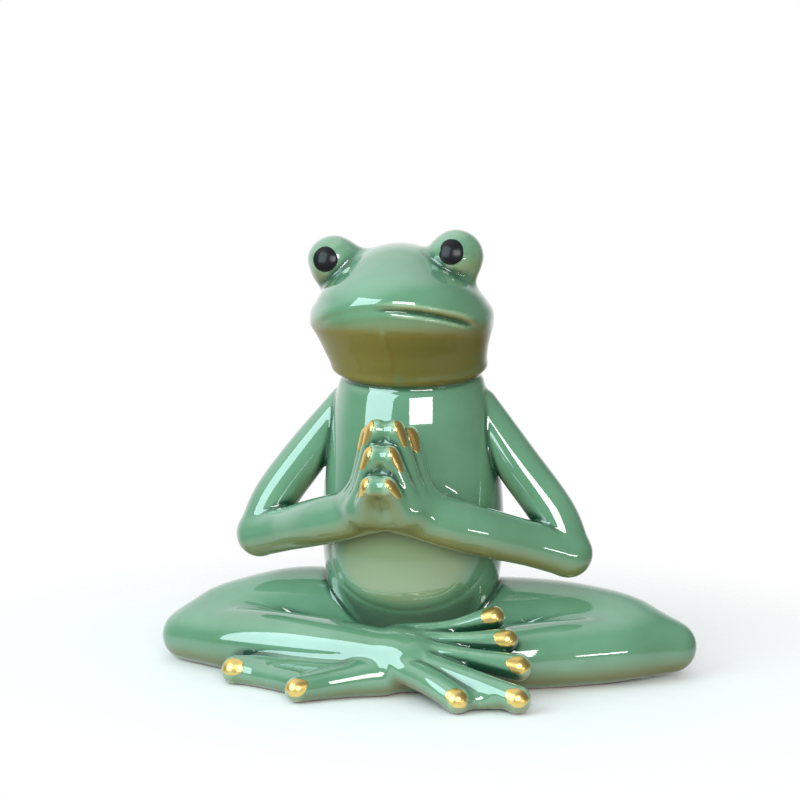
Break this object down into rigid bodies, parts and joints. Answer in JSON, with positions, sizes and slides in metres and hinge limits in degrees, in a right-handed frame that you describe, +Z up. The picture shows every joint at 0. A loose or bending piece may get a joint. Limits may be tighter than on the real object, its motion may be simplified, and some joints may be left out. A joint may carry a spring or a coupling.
{
  "type": "frog figurine",
  "caption": "Glazed ceramic frog seated cross-legged with its palms pressed together, gilded finger and toe tips and black eyes; a free-standing ornament.",
  "frame": {"origin": "on the ground under the middle of the neck, on the flat seat of the torso", "axes": "+Z up, the frog faces -Y, +X towards the frog's own left"},
  "size_m": [0.1508, 0.0714, 0.1242],
  "materials": {
    "celadon_glaze": "glossy celadon glaze, paler on ridges and darker where it pools",
    "black_enamel": "gloss black enamel",
    "gold_lustre": "brushed-on gold lustre, fired over the glaze"
  },
  "bodies": {
    "root": {"head": "celadon_glaze", "left_arm": "celadon_glaze", "left_eyeball": "celadon_glaze", "left_finger_gold_1": "gold_lustre", "left_finger_gold_2": "gold_lustre", "left_finger_gold_3": "gold_lustre", "left_finger_gold_4": "gold_lustre", "left_foot": "celadon_glaze", "left_hand": "celadon_glaze", "left_leg": "celadon_glaze", "left_pupil": "black_enamel", "left_toe_gold_1": "gold_lustre", "left_toe_gold_2": "gold_lustre", "right_arm": "celadon_glaze", "right_eyeball": "celadon_glaze", "right_finger_gold_1": "gold_lustre", "right_finger_gold_2": "gold_lustre", "right_finger_gold_3": "gold_lustre", "right_finger_gold_4": "gold_lustre", "right_foot": "celadon_glaze", "right_hand": "celadon_glaze", "right_leg": "celadon_glaze", "right_pupil": "black_enamel", "right_toe_gold_1": "gold_lustre", "right_toe_gold_2": "gold_lustre", "right_toe_gold_3": "gold_lustre", "right_toe_gold_4": "gold_lustre", "right_toe_gold_5": "gold_lustre", "torso_shell": "celadon_glaze"}
  },
  "joints": []
}
